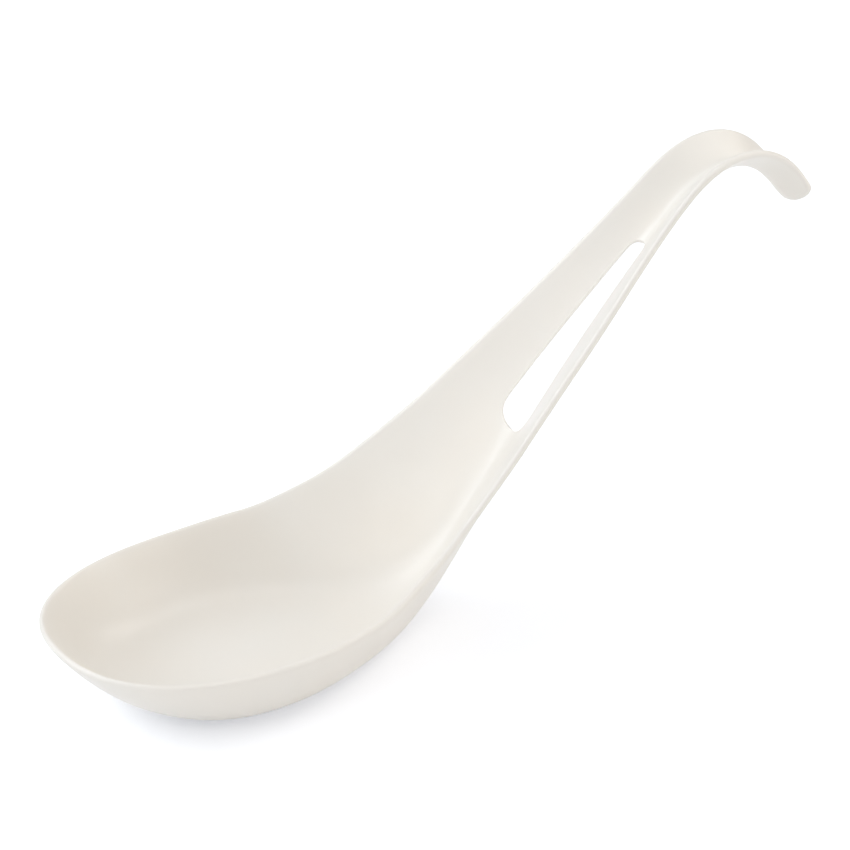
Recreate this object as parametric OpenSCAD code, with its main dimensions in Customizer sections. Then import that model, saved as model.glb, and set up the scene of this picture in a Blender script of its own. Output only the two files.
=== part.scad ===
// Soup spoon with a hooked handle: one plastic moulding, with an oval bowl that stands on a flat foot,
// a channelled handle with a long slot, and an end curled over to hang on the rim of a soup bowl.
// Millimetres. The origin is on the table under the middle of the bowl. The handle rises towards +X,
// +Z is up, and the spoon is the same on both sides of the XZ plane.
//
// A floor line runs along the middle of the spoon, from the middle of the bowl, up the handle and over
// the hook. Sections stand on it, each with a half width, a depth, a floor and a soft corner.
// A fan of sections round each end of the line closes the bowl's tip and the hook's end.

/* [Bowl] */
// Length from the middle of the bowl to the inside of its tip
bowl_l = 36.75; // [28:0.25:46]
// Inside width across the rims at the middle of the bowl
bowl_w = 52.5; // [40:0.5:60]
// Inside depth at the middle of the bowl
bowl_d = 14.75; // [12:0.25:20]
// Inside depth at the tip
tip_d = 15.75; // [14:0.25:22]
// Squareness of the tip seen from above, where 2 is an ellipse
tip_squareness = 2.3; // [2:0.05:3]
// Length of the level floor behind the middle of the bowl
floor_l = 20.5; // [16:0.5:26]
// Inside width across the rims where the level floor ends
heel_w = 49.25; // [40:0.25:54]
// Inside depth where the level floor ends
heel_d = 16.25; // [13:0.25:20]

/* [Handle] */
// Length over which the floor sweeps up into the handle
sweep_l = 40; // [30:0.5:48]
// Angle at which the handle leaves the sweep
rise = 52; // [35:0.5:55]
// Angle by which the handle flattens again on its way to the hook
ease = 10; // [0:0.5:12]
// Inside width across the rims halfway along the sweep
shoulder_w = 43.5; // [34:0.25:50]
// Inside depth halfway along the sweep
shoulder_d = 19.75; // [15:0.25:22]
// Inside width across the rims where the slot starts
neck_w = 30; // [22:0.25:36]
// Inside depth where the slot starts
neck_d = 10.75; // [6:0.25:13]
// Inside width across the rims halfway along the slot
stem_w = 22.75; // [17:0.25:27]
// Inside depth halfway along the slot
stem_d = 6.75; // [4:0.25:9]

/* [Hook] */
// Distance along the floor line from the middle of the bowl to the start of the curl
hook_from = 131; // [124:0.5:140]
// Length of the curl along the floor line, up to the middle of the rounded end
hook_l = 35; // [30:0.5:50]
// Angle through which the curl turns the handle over
turn = 94; // [70:1:130]
// Inside width across the rims at the start of the curl
waist_w = 14; // [11:0.25:20]
// Inside depth at the start of the curl
waist_d = 5; // [2.5:0.25:6]
// Inside width across the rims halfway round the curl
crest_w = 12.5; // [9:0.25:16]
// Inside depth halfway round the curl
crest_d = 4.25; // [2.5:0.25:6]
// Inside width where the rounded end starts
tail_w = 11.5; // [6:0.25:14]
// Inside depth where the rounded end starts
tail_d = 3.25; // [1.5:0.25:5]
// Inside depth at the very end
end_d = 0.25; // [0:0.25:3]
// Length of the rounded end
tail_round = 3.25; // [2:0.25:8]

/* [Slot] */
// Distance along the floor line from the middle of the bowl to the slot's wide end
slot_from = 77.5; // [70:0.5:80]
// Length of the slot
slot_l = 45.5; // [20:0.5:47]
// Width of the slot's round end nearer the bowl
slot_wide = 8.5; // [4:0.25:10]
// Width of the slot's round end nearer the hook
slot_narrow = 3.75; // [2:0.25:6]

/* [Wall] */
// Thickness of the wall
wall = 1.6; // [1.2:0.05:2.5]
// Extra thickness under the middle of the bowl's floor, which the flat foot is cut from
foot_crown = 1.1; // [0.6:0.1:1.5]
// Size of the soft edge on both sides of the rim
rim_edge = 0.5; // [0.1:0.05:0.55]

/* [Hidden] */

// Half width of the nearly flat floor, and softness of the corner beside it, as shares of the half width
bowl_floor_share = 0.83;
bowl_corner_share = 0.13;
tip_floor_share = 0.81;
tip_corner_share = 0.32;
handle_floor_share = 0.06;
handle_corner_share = 0.17;

// Power that crowds the points of the handle's sections towards their middle, where they turn the most,
// and the length beside the slot over which they move out of its way
handle_crowding = 1.4;
slot_lead = 8;

// Counts of facets: from floor to rim, round the tip, up to the slot, along it, past it, round the end
across = 12;
tip_steps = 16;
low_steps = 30;
slot_steps = 20;
high_steps = 20;
end_steps = 8;

slot_to = slot_from + slot_l;
sweep_to = floor_l + sweep_l;
line_l = hook_from + hook_l;
sections = low_steps + slot_steps + high_steps;
rows = tip_steps + sections + end_steps;

// Smooth step from 0 to 1, and a blend of two values
function eased(t) = let(c = min(max(t, 0), 1)) c * c * (3 - 2 * c);
function mix(a, b, t) = a + (b - a) * t;

// Angle above the level, in degrees, at distance s along the floor line. The floor stays level for
// floor_l, but the sections on it start to lean at once, so that they fan out evenly and never cross
function rise_from(start, s) = rise * eased((s - start) / (sweep_to - start));
function bend_over(s) =
    -ease * eased((s - sweep_to) / (hook_from - sweep_to))
    - turn * eased((s - hook_from) / hook_l);
function heading(s) = rise_from(floor_l, s) + bend_over(s);
function lean(s) = rise_from(0, s) + bend_over(s);

// Distances of the sections along the floor line, closer together at the slot's round ends
distances = [
    for (i = [0:low_steps - 1]) slot_from * i / low_steps,
    for (i = [0:slot_steps - 1]) slot_from + slot_l * (1 - cos(180 * i / slot_steps)) / 2,
    for (i = [0:high_steps]) mix(slot_to, line_l, i / high_steps)
];
leans = [for (s = distances) lean(s)];

// Places of the sections, where each step from one to the next follows the heading halfway along it
steps = [
    for (i = [1:sections])
    let(angle = heading((distances[i - 1] + distances[i]) / 2))
    (distances[i] - distances[i - 1]) * [cos(angle), sin(angle)]
];
line = [for (i = 0, p = [0, wall]; i <= sections; p = i < sections ? p + steps[i] : p, i = i + 1) p];

// Smooth curve through values at places, level at its start
function slope_at(places, values, i) =
    let(
        last = len(places) - 1,
        before = i > 0 ? (values[i] - values[i - 1]) / (places[i] - places[i - 1]) : 0,
        after = i < last ? (values[i + 1] - values[i]) / (places[i + 1] - places[i]) : 0
    )
    i == 0 ? 0
    : i == last ? before
    : mix(before, after, (places[i] - places[i - 1]) / (places[i + 1] - places[i - 1]));
function span_of(places, s, i = 0) =
    i == len(places) - 2 || s < places[i + 1] ? i : span_of(places, s, i + 1);
function curve_at(places, values, s) =
    let(
        i = span_of(places, s),
        gap = places[i + 1] - places[i],
        t = (s - places[i]) / gap,
        slopes = (1 - t) * slope_at(places, values, i) - t * slope_at(places, values, i + 1)
    )
    mix(values[i], values[i + 1], eased(t)) + gap * t * (1 - t) * slopes;

guide_places = [
    0, floor_l, floor_l + sweep_l / 2, slot_from, slot_from + slot_l / 2,
    hook_from, hook_from + hook_l / 2, line_l
];
guide_widths = [bowl_w, heel_w, shoulder_w, neck_w, stem_w, waist_w, crest_w, tail_w];
guide_depths = [bowl_d, heel_d, shoulder_d, neck_d, stem_d, waist_d, crest_d, tail_d];
half_widths = [for (s = distances) curve_at(guide_places, guide_widths, s) / 2];
depths = [for (s = distances) curve_at(guide_places, guide_depths, s)];

// Half width of the slot at distance s: two round ends, and straight sides that touch both
wide_r = slot_wide / 2;
narrow_r = slot_narrow / 2;
wide_at = slot_from + wide_r;
narrow_at = slot_to - narrow_r;
side_angle = asin((wide_r - narrow_r) / (narrow_at - wide_at));
function round_end(r, from_middle) = sqrt(max(pow(r, 2) - pow(from_middle, 2), 0));
function slot_half(s) =
    s < wide_at + wide_r * sin(side_angle) ? round_end(wide_r, s - wide_at)
    : s > narrow_at + narrow_r * sin(side_angle) ? round_end(narrow_r, s - narrow_at)
    : (wide_r - (s - wide_at) * sin(side_angle)) / cos(side_angle);

// A row is one section, or one spoke of the fan at either end, which turns about the section there
function section_of(row) = min(max(row - tip_steps, 0), sections);
function at_tip(row) = row < tip_steps;
function in_slot(row) = let(i = row - tip_steps) i > low_steps && i < low_steps + slot_steps;

// Half width that the points of a row leave free. In the slot it is the slot's own, and beside the
// slot the points move out of its way little by little, so that no strip at its ends is skewed
first_room = slot_half(distances[low_steps + 1]);
last_room = slot_half(distances[low_steps + slot_steps - 1]);
function slot_room(row) =
    let(s = distances[section_of(row)])
    in_slot(row) ? slot_half(s)
    : s > slot_from ? last_room * eased(1 - (s - slot_to) / slot_lead)
    : first_room * eased(1 - (slot_from - s) / slot_lead);

// Angle of a spoke: 0 along the spoon, and 90 across it as on all the sections between the fans
function spoke(row) =
    at_tip(row) ? 90 * row / tip_steps
    : row > rows - end_steps ? 90 * (rows - row) / end_steps
    : 90;

// Inside of the rim on a row, as its distance ahead of the row's section and to the side
function rim_place(row) =
    let(
        power = at_tip(row) ? 2 / tip_squareness : 1,
        reach = at_tip(row) ? -bowl_l : tail_round
    )
    [reach * pow(cos(spoke(row)), power), half_widths[section_of(row)] * pow(sin(spoke(row)), power)];

// Depth of a row, and its shares and crowding. Round the fans they blend towards the ends' own
function row_depth(row) =
    at_tip(row) ? mix(bowl_d, tip_d, pow(cos(spoke(row)), 4 / tip_squareness))
    : mix(depths[section_of(row)], end_d, pow(cos(spoke(row)), 2));
function row_share(row, bowl, handle, tip) =
    at_tip(row) ? mix(bowl, tip, pow(cos(spoke(row)), 2))
    : mix(bowl, handle, eased(distances[section_of(row)] / sweep_to));

// Rise of a section from 0 at its middle to 1 at the rim: a flat floor, a soft corner, a straight wall.
// r is the share of the way out, f the floor's share and c the corner's
function corner_sum(r, f, c) = norm([r - f, c]) + norm([r + f, c]);
function section_rise(r, f, c) =
    (corner_sum(r, f, c) - corner_sum(0, f, c)) / (corner_sum(1, f, c) - corner_sum(0, f, c));
function section_slope(r, f, c) =
    ((r - f) / norm([r - f, c]) + (r + f) / norm([r + f, c])) / (corner_sum(1, f, c) - corner_sum(0, f, c));

// One row of points from the middle, or from the slot's edge, out to the rim and its soft edge.
// Skin 0 is the inside of the spoon. Skin 1 is the outside, a wall's thickness square to the inside,
// and cut level where it would reach below the foot.
function skin_row(row, skin) =
    let(
        k = section_of(row),
        rim = rim_place(row),
        reach = norm(rim),
        depth = row_depth(row),
        f = row_share(row, bowl_floor_share, handle_floor_share, tip_floor_share),
        c = row_share(row, bowl_corner_share, handle_corner_share, tip_corner_share),
        start = slot_room(row) / reach,
        crowding = row_share(row, 1, handle_crowding, 1),
        edge = rim_edge / norm([reach, depth * section_slope(1, f, c)])
    )
    [
        for (i = [0:across + 1])
        let(
            r = i > across ? 1
                : i == 0 && !in_slot(row) ? 0
                : mix(start, 1 - edge, pow(i / across, crowding)),
            wall_angle = atan(depth * section_slope(r, f, c) / reach),
            crown = foot_crown * (1 - eased(r)) * (1 - eased((distances[k] - floor_l) / sweep_l)),
            soft = i > across ? rim_edge * (1 - 2 * skin) : 0,
            thick = skin * (wall + crown) + soft,
            out = reach * r + thick * sin(wall_angle),
            up = depth * section_rise(r, f, c) - thick * cos(wall_angle),
            ahead = out * rim[0] / reach,
            x = line[k][0] + ahead * cos(leans[k]) - up * sin(leans[k]),
            z = line[k][1] + ahead * sin(leans[k]) + up * cos(leans[k])
        )
        [x, out * rim[1] / reach, skin == 1 ? max(z, 0) : z]
    ];

// All points: the inside and the outside of the +Y half, then of the mirrored half
half_points = [for (skin = [0, 1], row = [0:rows], p = skin_row(row, skin)) p];
points = concat(half_points, [for (p = half_points) [p[0], -p[1], p[2]]]);

// Number of a point. Both halves share the points on the middle plane, and the spokes of a fan share
// the point that they turn about
columns = across + 2;
function on_middle(row, i) = row == 0 || row == rows || (i == 0 && !in_slot(row));
function number(half, skin, row, i) =
    let(
        at = i == 0 ? tip_steps + section_of(row) : row,
        own_half = on_middle(at, i) ? 0 : half
    )
    ((own_half * 2 + skin) * (rows + 1) + at) * columns + i;

// Two triangles between point numbers a, b, c and d, on both sides of the shorter diagonal. They are
// turned over if flip is 1, less any with no area
function both_sides(a, b, c, d, flip) =
    [
        for (t = norm(points[a] - points[c]) <= norm(points[b] - points[d])
            ? [[a, b, c], [a, c, d]]
            : [[b, c, d], [b, d, a]])
        if (t[0] != t[1] && t[1] != t[2] && t[2] != t[0])
        flip == 1 ? [t[2], t[1], t[0]] : t
    ];
function strip(half, row, skin_a, i_a, skin_b, i_b, flip) =
    both_sides(
        number(half, skin_a, row, i_a), number(half, skin_b, row, i_b),
        number(half, skin_b, row + 1, i_b), number(half, skin_a, row + 1, i_a),
        flip
    );
faces = [
    for (half = [0, 1], row = [0:rows - 1])
    each concat(
        [for (i = [0:across]) each strip(half, row, 0, i, 0, i + 1, half)],
        [for (i = [0:across]) each strip(half, row, 1, i, 1, i + 1, 1 - half)],
        strip(half, row, 0, across + 1, 1, across + 1, half),
        in_slot(row) || in_slot(row + 1) ? strip(half, row, 1, 0, 0, 0, half) : []
    )
];

module spoon() {
    color([0.93, 0.915, 0.88])
    polyhedron(points, faces);
}

spoon();
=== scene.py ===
# %% [markdown]
# # A hooked soup spoon, from CAD solid to finished picture
#
# The spoon is one plastic moulding: a deep oval bowl on a flat foot, a channelled handle with a long
# slot, and an end curled over so that the spoon can hang on the rim of a soup bowl. The CAD solid comes
# in first, as one node named spoon. Everything below is built round it, in metres, in its own frame.

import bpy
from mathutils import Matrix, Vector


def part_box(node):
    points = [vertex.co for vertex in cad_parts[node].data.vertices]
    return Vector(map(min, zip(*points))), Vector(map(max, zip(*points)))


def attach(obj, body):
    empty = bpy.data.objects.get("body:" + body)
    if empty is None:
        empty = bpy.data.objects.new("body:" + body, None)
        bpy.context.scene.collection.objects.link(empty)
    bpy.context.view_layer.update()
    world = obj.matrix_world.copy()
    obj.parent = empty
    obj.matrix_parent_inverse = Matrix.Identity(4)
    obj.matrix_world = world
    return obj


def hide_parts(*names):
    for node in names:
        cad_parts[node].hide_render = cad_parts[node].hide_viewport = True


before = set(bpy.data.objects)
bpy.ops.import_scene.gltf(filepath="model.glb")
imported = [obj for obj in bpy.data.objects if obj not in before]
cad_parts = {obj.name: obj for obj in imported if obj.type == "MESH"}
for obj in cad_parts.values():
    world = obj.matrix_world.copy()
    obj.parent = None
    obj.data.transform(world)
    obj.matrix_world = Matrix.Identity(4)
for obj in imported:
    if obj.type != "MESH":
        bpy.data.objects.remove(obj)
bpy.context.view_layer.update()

# %% [markdown]
# ## Units and sizes
#
# Blender works in metres and a spoon is thought of in millimetres, so one named factor turns each size
# into metres where it is used. The node's own box gives the middle of the spoon, which the lamps are
# turned towards, so that they follow the spoon if it changes.

# %% Millimetres, and the spoon's own sizes
import math
import bmesh
import bpy
from mathutils import Vector

MM = 0.001
low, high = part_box("spoon")
middle = (low + high) / 2
print("spoon is %.1f x %.1f x %.1f mm" % tuple((high - low) / MM))

# %% [markdown]
# ## The camera
#
# A product photographer stands well back with a long lens, so that the near and far ends of the spoon
# keep their true proportions. The picture looks down at the bowl from its tip's side, with the handle
# going away up to the right. A camera is easiest to describe by what it looks at, from how far, and by
# two angles: how far it stands round from square-on to the spoon's side, and how high above it.
# A Track To constraint would do the same, but a rotation worked out once keeps the scene plain.

# %% Stand the camera at the photograph's viewpoint
view_round = math.radians(34.33)
view_down = math.radians(29.17)
view_distance = 643.6 * MM
looks_at = Vector((30.21, -21.12, 53.53)) * MM
lens_in_mm = 147.44

away = Vector((
    math.sin(view_round) * math.cos(view_down),
    math.cos(view_round) * math.cos(view_down),
    -math.sin(view_down),
))
camera = bpy.data.objects.new("camera", bpy.data.cameras.new("camera"))
camera.location = looks_at - away * view_distance
camera.rotation_euler = away.to_track_quat("-Z", "Y").to_euler()
camera.data.lens = lens_in_mm
camera.data.clip_start = 10 * MM
camera.data.clip_end = 20
bpy.context.scene.collection.objects.link(camera)
bpy.context.scene.camera = camera
print("camera at", [round(v / MM) for v in camera.location], "mm, lens", lens_in_mm, "mm")

# %% [markdown]
# ## The spoon's surface
#
# The CAD solid already has the right shape, but its skin is flat triangles, and a moulded spoon has
# none. The surface is made smooth in three steps, all on a copy, because the CAD mesh itself must stay
# as it is. First the loose triangles are merged into one skin. Then pairs of triangles are joined back
# into four-sided faces, which a subdivision surface likes best: it puts its new points evenly between
# the old ones. Sculpting or remeshing would also give a smooth skin, but both would lose the even
# thickness of the wall.

# %% Copy the solid's mesh and join its triangles into four-sided faces
merge_distance = 0.01 * MM
joins_up_to_turn = math.radians(60)
joins_up_to_skew = math.radians(90)


def four_sided_copy(node):
    shape = bmesh.new()
    shape.from_mesh(node.data)
    bmesh.ops.remove_doubles(shape, verts=shape.verts, dist=merge_distance)
    bmesh.ops.join_triangles(
        shape, faces=shape.faces, angle_face_threshold=joins_up_to_turn,
        angle_shape_threshold=joins_up_to_skew, topology_influence=1,
    )
    return shape


shell = four_sided_copy(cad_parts["spoon"])
sides = [len(face.verts) for face in shell.faces]
print("faces with four sides:", sides.count(4), "with three:", sides.count(3))

# %% [markdown]
# ## The slot's edges
#
# A mould can't hold a knife-sharp edge, and one would be unpleasant to hold, so the slot's edges are
# slightly rounded. Subdivision alone would round them far too much. A narrow bevel puts a pair of edges
# close on each side, and these hold the smooth surface near the corner. The edges are found by how
# sharply the surface turns there. The rim's soft edge turns less at each step, so it isn't bevelled.

# %% Bevel the sharp edges of the slot
slot_edge_turn = math.radians(70)
slot_rounding = 0.22 * MM
slot_edges = [
    edge for edge in shell.edges
    if len(edge.link_faces) == 2 and edge.calc_face_angle() > slot_edge_turn
]
print("sharp edges round the slot:", len(slot_edges))
bmesh.ops.bevel(
    shell, geom=slot_edges, offset=slot_rounding, offset_type="OFFSET", segments=2,
    profile=0.5, affect="EDGES", clamp_overlap=True, material=-1,
)

# %% [markdown]
# ## The finished skin
#
# The mesh becomes an object of its own, and two levels of subdivision turn its faces into a fine, even
# skin. The new piece rides on the spoon's one body and stands in for the CAD node.

# %% Make the spoon's skin an object
def piece_from(shape, name):
    mesh = bpy.data.meshes.new(name)
    shape.to_mesh(mesh)
    shape.free()
    mesh.polygons.foreach_set("use_smooth", [True] * len(mesh.polygons))
    piece = bpy.data.objects.new(name, mesh)
    bpy.context.scene.collection.objects.link(piece)
    return piece


moulded_spoon = piece_from(shell, "moulded_spoon")
smooth_skin = moulded_spoon.modifiers.new("smooth_skin", "SUBSURF")
smooth_skin.levels = smooth_skin.render_levels = 2
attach(moulded_spoon, "root")
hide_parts("spoon")
print("control faces:", len(moulded_spoon.data.polygons))

# %% [markdown]
# ## Helpers for finishes
#
# A finish is a tree of nodes, and three small functions keep such trees short. One makes an empty
# material. One adds a noise texture by the size of its blobs, which is easier to judge than a scale. One
# spreads the noise over the range that a finish needs, because raw noise hardly leaves the middle greys.

# %% Helpers for node materials
def new_material(name):
    material = bpy.data.materials.new(name)
    material.use_nodes = True
    tree = material.node_tree
    tree.nodes.clear()
    output = tree.nodes.new("ShaderNodeOutputMaterial")
    return material, tree, output


def noise(tree, coordinates, size, detail=2.0):
    """A noise texture whose blobs are about this size across."""
    texture = tree.nodes.new("ShaderNodeTexNoise")
    texture.inputs["Scale"].default_value = 1 / size
    texture.inputs["Detail"].default_value = detail
    tree.links.new(coordinates, texture.inputs["Vector"])
    return texture.outputs["Fac"]


def spread(tree, value, lowest, highest):
    """Turns a noise value, which keeps mostly between 0.3 and 0.7, into the range given."""
    ranged = tree.nodes.new("ShaderNodeMapRange")
    ranged.inputs["From Min"].default_value = 0.3
    ranged.inputs["From Max"].default_value = 0.7
    ranged.inputs["To Min"].default_value = lowest
    ranged.inputs["To Max"].default_value = highest
    tree.links.new(value, ranged.inputs["Value"])
    return ranged.outputs["Result"]


# %% [markdown]
# ## Off-white moulded plastic
#
# The real spoon is a hard, off-white table plastic with a soft sheen. It isn't one flat colour: the
# pigment clouds very slightly as the plastic flows in the mould, and the polish is a little uneven, with
# a fine grain like orange peel that only shows where a lamp is reflected. Each is a noise texture read on
# Object coordinates in millimetres, so the pattern stays put on the spoon at its real size. The two
# ivories differ by about one hundredth, so the clouds are felt more than seen.

# %% Off-white plastic
cool_ivory = (0.841, 0.808, 0.754, 1)
warm_ivory = (0.845, 0.803, 0.741, 1)
cloud_size = 18 * MM
polish_size = 7 * MM
best_polish, worst_polish = 0.34, 0.44
peel_size = 0.7 * MM
peel_height = 0.05 * MM
peel_strength = 0.08
shine = 0.7

plastic, tree, output = new_material("off_white_plastic")
coordinates = tree.nodes.new("ShaderNodeTexCoord").outputs["Object"]
shader = tree.nodes.new("ShaderNodeBsdfPrincipled")
shader.inputs["Specular IOR Level"].default_value = shine
tree.links.new(shader.outputs["BSDF"], output.inputs["Surface"])

clouds = tree.nodes.new("ShaderNodeMix")
clouds.data_type = "RGBA"
clouds.inputs["A"].default_value = cool_ivory
clouds.inputs["B"].default_value = warm_ivory
cloudy = spread(tree, noise(tree, coordinates, cloud_size), 0, 1)
tree.links.new(cloudy, clouds.inputs["Factor"])
tree.links.new(clouds.outputs["Result"], shader.inputs["Base Color"])

polish = spread(tree, noise(tree, coordinates, polish_size), best_polish, worst_polish)
tree.links.new(polish, shader.inputs["Roughness"])

peel = tree.nodes.new("ShaderNodeBump")
peel.inputs["Strength"].default_value = peel_strength
peel.inputs["Distance"].default_value = peel_height
tree.links.new(noise(tree, coordinates, peel_size, detail=3.0), peel.inputs["Height"])
tree.links.new(peel.outputs["Normal"], shader.inputs["Normal"])

moulded_spoon.data.materials.append(plastic)
print("plastic nodes:", len(tree.nodes))

# %% [markdown]
# ## The floor
#
# The photograph's background is plain white. A wide sheet of white card stands for it: it takes the
# spoon's shadow and throws light back up under the bowl. A lit card is never quite white in a picture, so
# rays that come straight from the camera, or from it by way of a mirror or a glass, also see a faint
# glow, a touch blue, as the shadow in the photograph is. The plastic's own soft bounce light doesn't see
# the glow, so it adds no light to the spoon's colour.

# %% A wide white card under the spoon
def seen_directly(tree):
    """1 for a ray from the camera, also after a mirror or glass, and 0 for soft bounce light."""
    path = tree.nodes.new("ShaderNodeLightPath")
    seen = path.outputs["Is Camera Ray"]
    for kind in ("Is Glossy Ray", "Is Transmission Ray"):
        either = tree.nodes.new("ShaderNodeMath")
        either.operation = "MAXIMUM"
        tree.links.new(seen, either.inputs[0])
        tree.links.new(path.outputs[kind], either.inputs[1])
        seen = either.outputs["Value"]
    return seen


def from_to(tree, value, at_zero, at_one):
    """A value that runs from at_zero to at_one while the given value runs from 0 to 1."""
    ranged = tree.nodes.new("ShaderNodeMapRange")
    ranged.inputs["To Min"].default_value = at_zero
    ranged.inputs["To Max"].default_value = at_one
    tree.links.new(value, ranged.inputs["Value"])
    return ranged.outputs["Result"]


card_reach = 6
card_colour = (0.9, 0.9, 0.9, 1)
glow_colour = (0.93, 0.98, 1.1, 1)
card_glow = 0.32

card_shape = bmesh.new()
bmesh.ops.create_grid(card_shape, x_segments=1, y_segments=1, size=card_reach)
card = piece_from(card_shape, "card")

card_white, tree, output = new_material("card_white")
matt = tree.nodes.new("ShaderNodeBsdfDiffuse")
matt.inputs["Color"].default_value = card_colour
glow = tree.nodes.new("ShaderNodeEmission")
glow.inputs["Color"].default_value = glow_colour
tree.links.new(from_to(tree, seen_directly(tree), 0, card_glow), glow.inputs["Strength"])
both = tree.nodes.new("ShaderNodeAddShader")
tree.links.new(matt.outputs["BSDF"], both.inputs[0])
tree.links.new(glow.outputs["Emission"], both.inputs[1])
tree.links.new(both.outputs["Shader"], output.inputs["Surface"])
card.data.materials.append(card_white)
print("card:", 2 * card_reach, "m wide")

# %% [markdown]
# ## Soft studio light
#
# A pale, satin thing is lit from almost everywhere, with wide soft boxes and no hard lamp, so that its
# colour stays as it is and only the turn of its surface shades it. The brightest box stands behind on
# the left and shines down the channel of the handle, which is the lightest place in the photograph. The
# room beyond is white where it is seen or mirrored, and only faint as a lamp.

# %% The white room
room_light = 0.12
world = bpy.data.worlds.new("room")
world.use_nodes = True
bpy.context.scene.world = world
tree = world.node_tree
room = tree.nodes["Background"]
room.inputs["Color"].default_value = (1, 1, 1, 1)
tree.links.new(from_to(tree, seen_directly(tree), room_light, 1), room.inputs["Strength"])
print("room:", world.name, "light:", room_light)

# %% [markdown]
# ## The soft boxes
#
# The seven boxes stand in a ring, most of them low, because a bowl is only lit inside by what can look
# over its rim. Those at the back and left are a touch bluer than those on the right, as a window is
# beside a lamp. That makes the far walls warmer than the floor of the bowl, yet no box is more than a few
# hundredths away from white, so the plastic keeps the colour that its material was given. Each box is
# turned towards the spoon's middle, so that only its direction, height and power need to be written.

# %% Soft boxes
daylight = (0.955, 1, 1.05)
white_light = (1, 1, 1)
lamplight = (1.03, 1, 0.96)
box_distance = 1.6
box_width = 1.0


def soft_box(name, round_degrees, up_degrees, power, colour):
    """A square lamp, turned towards the spoon from this many degrees round from +X and up."""
    turn, lift = math.radians(round_degrees), math.radians(up_degrees)
    lamp = bpy.data.lights.new(name, "AREA")
    lamp.size = box_width
    lamp.energy = power
    lamp.color = colour
    soft = bpy.data.objects.new(name, lamp)
    towards = Vector((
        math.cos(turn) * math.cos(lift),
        math.sin(turn) * math.cos(lift),
        math.sin(lift),
    ))
    soft.location = middle + towards * box_distance
    soft.rotation_euler = towards.to_track_quat("Z", "Y").to_euler()
    bpy.context.scene.collection.objects.link(soft)


soft_box("low_front_left_box", 225, 14, 7.3, white_light)
soft_box("low_front_right_box", 315, 14, 7.4, lamplight)
soft_box("right_box", 0, 40, 6.7, lamplight)
soft_box("back_box", 90, 40, 3.3, daylight)
soft_box("back_left_box", 135, 40, 10.3, daylight)
soft_box("left_box", 180, 40, 6.6, daylight)
soft_box("high_front_right_box", 315, 65, 3.7, lamplight)

# %% [markdown]
# ## Colour as written
#
# The Standard view shows a colour as it is written, with no film-like curve, so the plastic looks right
# in any picture that the spoon is used in.

bpy.context.scene.view_settings.view_transform = "Standard"
